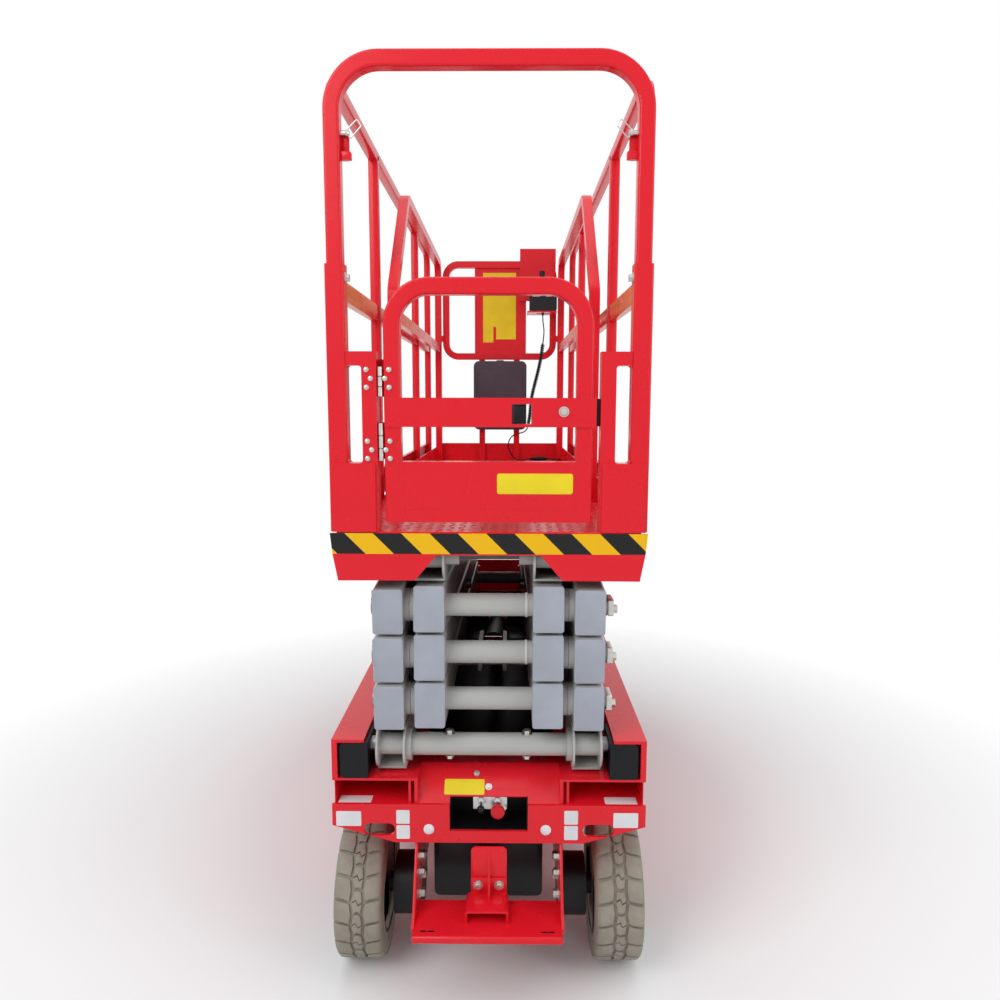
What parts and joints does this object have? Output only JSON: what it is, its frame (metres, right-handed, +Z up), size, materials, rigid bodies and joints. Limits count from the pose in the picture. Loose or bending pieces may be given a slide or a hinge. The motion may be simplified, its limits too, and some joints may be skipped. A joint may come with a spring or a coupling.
{
  "type": "scissor lift",
  "caption": "Electric slab scissor lift with a guard-railed platform, sliding extension deck, gate and steered wheels.",
  "frame": {"origin": "on the floor under the middle of the overall length and width", "axes": "+X to the right seen from the gate end, +Y towards the steered wheels, +Z up"},
  "size_m": [0.82, 2.43, 2.3469],
  "materials": {
    "red_paint": "gloss",
    "grey_paint": "gloss",
    "black_paint": "satin",
    "plated_steel": "satin",
    "chrome_rod": "polished",
    "nylon": "matt",
    "tyre": "non-marking grey rubber",
    "box_plastic": "grained",
    "black_plastic": "satin"
  },
  "bodies": {
    "chassis": {"chassis_frame": "red_paint", "slide_rails": "red_paint", "rear_end": "red_paint", "fork_pockets": "red_paint", "rear_step": "red_paint", "rear_drums": "black_paint", "front_axle": "red_paint", "base_brackets": "red_paint", "cylinder_mount": "red_paint"},
    "wheel_rear_left": {"tyre_rear_left": "tyre", "rim_rear_left": "black_paint"},
    "wheel_rear_right": {"tyre_rear_right": "tyre", "rim_rear_right": "black_paint"},
    "knuckle_left": {"knuckle_left": "black_paint"},
    "knuckle_right": {"knuckle_right": "black_paint"},
    "tie_rod": {"tie_rod": "black_paint"},
    "wheel_front_left": {"tyre_front_left": "tyre", "rim_front_left": "black_paint"},
    "wheel_front_right": {"tyre_front_right": "tyre", "rim_front_right": "black_paint"},
    "lower_slide": {"lower_slide_blocks": "nylon"},
    "upper_slide": {"upper_slide_blocks": "nylon"},
    "barrel": {"cylinder_barrel": "black_paint"},
    "rod": {"cylinder_rod": "chrome_rod"},
    "platform": {"platform_deck": "red_paint", "top_brackets": "red_paint", "rear_skirt": "red_paint", "rear_frame": "red_paint", "rear_rail": "red_paint", "side_rails": "red_paint"},
    "gate": {"gate": "red_paint"},
    "extension": {"extension_deck": "red_paint", "extension_rails": "red_paint", "front_rail": "red_paint", "control_box": "black_plastic", "control_bracket": "red_paint", "document_box": "box_plastic", "control_cable_top": "black_plastic", "control_cable_coil": "black_plastic", "control_cable_tail": "black_plastic", "deck_cable": "black_plastic", "cable_connector": "black_plastic"},
    "tray_left": {"tray_left": "red_paint", "power_unit": "black_paint"},
    "tray_right": {"tray_right": "red_paint", "batteries": "black_plastic"},
    "inner_1": {"inner_arms_1": "grey_paint"},
    "outer_1": {"outer_arms_1": "grey_paint", "pins_1": "plated_steel"},
    "inner_2": {"inner_arms_2": "grey_paint"},
    "outer_2": {"outer_arms_2": "grey_paint", "pins_2": "plated_steel"},
    "inner_3": {"inner_arms_3": "grey_paint"},
    "outer_3": {"outer_arms_3": "grey_paint", "pins_3": "plated_steel"},
    "inner_4": {"inner_arms_4": "grey_paint"},
    "outer_4": {"outer_arms_4": "grey_paint", "pins_4": "plated_steel"}
  },
  "joints": [
    {"name": "lift", "type": "hinge", "parent": "chassis", "child": "inner_1", "pos_m": [0, 1.06322, 0.6625], "axis": [-1, 0, 0], "range_deg": [0, 56.5]},
    {"name": "scissor_1", "type": "hinge", "parent": "inner_1", "child": "outer_1", "pos_m": [0, 0.04011, 0.72475], "axis": [-1, 0, 0], "range_deg": [-113, 0]},
    {"name": "rear_pins_1", "type": "hinge", "parent": "inner_1", "child": "outer_2", "pos_m": [0, -0.983, 0.787], "axis": [-1, 0, 0], "range_deg": [-113, 0]},
    {"name": "scissor_2", "type": "hinge", "parent": "outer_2", "child": "inner_2", "pos_m": [0, 0.04011, 0.84925], "axis": [-1, 0, 0], "range_deg": [0, 113]},
    {"name": "rear_pins_2", "type": "hinge", "parent": "inner_2", "child": "outer_3", "pos_m": [0, -0.983, 0.9115], "axis": [-1, 0, 0], "range_deg": [-113, 0]},
    {"name": "scissor_3", "type": "hinge", "parent": "outer_3", "child": "inner_3", "pos_m": [0, 0.04011, 0.97375], "axis": [-1, 0, 0], "range_deg": [0, 113]},
    {"name": "rear_pins_3", "type": "hinge", "parent": "inner_3", "child": "outer_4", "pos_m": [0, -0.983, 1.036], "axis": [-1, 0, 0], "range_deg": [-113, 0]},
    {"name": "scissor_4", "type": "hinge", "parent": "outer_4", "child": "inner_4", "pos_m": [0, 0.04011, 1.09825], "axis": [-1, 0, 0], "range_deg": [0, 113]},
    {"name": "platform_pins", "type": "hinge", "parent": "outer_4", "child": "platform", "pos_m": [0, 1.06322, 1.1605], "axis": [-1, 0, 0], "range_deg": [0, 56.5]},
    {"name": "lower_slide_pins", "type": "hinge", "parent": "outer_1", "child": "lower_slide", "pos_m": [0, -0.983, 0.6625], "axis": [-1, 0, 0], "range_deg": [0, 56.5]},
    {"name": "upper_slide_pins", "type": "hinge", "parent": "inner_4", "child": "upper_slide", "pos_m": [0, -0.983, 1.1605], "axis": [-1, 0, 0], "range_deg": [-56.5, 0]},
    {"name": "cylinder_pivot", "type": "hinge", "parent": "chassis", "child": "barrel", "pos_m": [0, 0.71322, 0.4925], "axis": [-1, 0, 0], "range_deg": [0, 63.23]},
    {"name": "cylinder_rod", "type": "slide", "parent": "barrel", "child": "rod", "axis": [0, -0.9758, 0.2186], "range_m": [0, 0.33123]},
    {"name": "steering", "type": "hinge", "parent": "chassis", "child": "knuckle_left", "pos_m": [-0.225, 1.015, 0.1905], "axis": [0, 0, 1], "range_deg": [-60, 60]},
    {"name": "steering_right", "type": "hinge", "parent": "chassis", "child": "knuckle_right", "pos_m": [0.225, 1.015, 0.1905], "axis": [0, 0, 1], "range_deg": [-60, 60]},
    {"name": "tie_rod_pin", "type": "hinge", "parent": "knuckle_left", "child": "tie_rod", "pos_m": [-0.225, 0.895, 0.3], "axis": [0, 0, 1], "range_deg": [-60, 60]},
    {"name": "wheel_rear_left_spin", "type": "hinge", "parent": "chassis", "child": "wheel_rear_left", "pos_m": [-0.3465, -0.855, 0.1905], "axis": [1, 0, 0], "continuous": true},
    {"name": "wheel_rear_right_spin", "type": "hinge", "parent": "chassis", "child": "wheel_rear_right", "pos_m": [0.3465, -0.855, 0.1905], "axis": [1, 0, 0], "continuous": true},
    {"name": "wheel_front_left_spin", "type": "hinge", "parent": "knuckle_left", "child": "wheel_front_left", "pos_m": [-0.3465, 1.015, 0.1905], "axis": [1, 0, 0], "continuous": true},
    {"name": "wheel_front_right_spin", "type": "hinge", "parent": "knuckle_right", "child": "wheel_front_right", "pos_m": [0.3465, 1.015, 0.1905], "axis": [1, 0, 0], "continuous": true},
    {"name": "extension_slide", "type": "slide", "parent": "platform", "child": "extension", "axis": [0, 1, 0], "range_m": [0, 0.9]},
    {"name": "gate_hinge", "type": "hinge", "parent": "platform", "child": "gate", "pos_m": [-0.26, -1.005, 1.5], "axis": [0, 0, 1], "range_deg": [0, 90]},
    {"name": "tray_left_hinge", "type": "hinge", "parent": "chassis", "child": "tray_left", "pos_m": [-0.386, 0.717, 0.4], "axis": [0, 0, -1], "range_deg": [0, 100]},
    {"name": "tray_right_hinge", "type": "hinge", "parent": "chassis", "child": "tray_right", "pos_m": [0.386, 0.717, 0.4], "axis": [0, 0, 1], "range_deg": [0, 100]}
  ],
  "couplings": [
    {"joint": "scissor_1", "follows": "lift", "ratio": -2},
    {"joint": "rear_pins_1", "follows": "lift", "ratio": -2},
    {"joint": "scissor_2", "follows": "lift", "ratio": 2},
    {"joint": "rear_pins_2", "follows": "lift", "ratio": -2},
    {"joint": "scissor_3", "follows": "lift", "ratio": 2},
    {"joint": "rear_pins_3", "follows": "lift", "ratio": -2},
    {"joint": "scissor_4", "follows": "lift", "ratio": 2},
    {"joint": "platform_pins", "follows": "lift", "ratio": 1},
    {"joint": "lower_slide_pins", "follows": "lift", "ratio": 1},
    {"joint": "upper_slide_pins", "follows": "lift", "ratio": -1},
    {"joint": "cylinder_pivot", "follows": "lift", "ratio": 1.119},
    {"joint": "cylinder_rod", "follows": "lift", "m_per_rad": 0.33579},
    {"joint": "steering_right", "follows": "steering", "ratio": 1},
    {"joint": "tie_rod_pin", "follows": "steering", "ratio": -1}
  ]
}
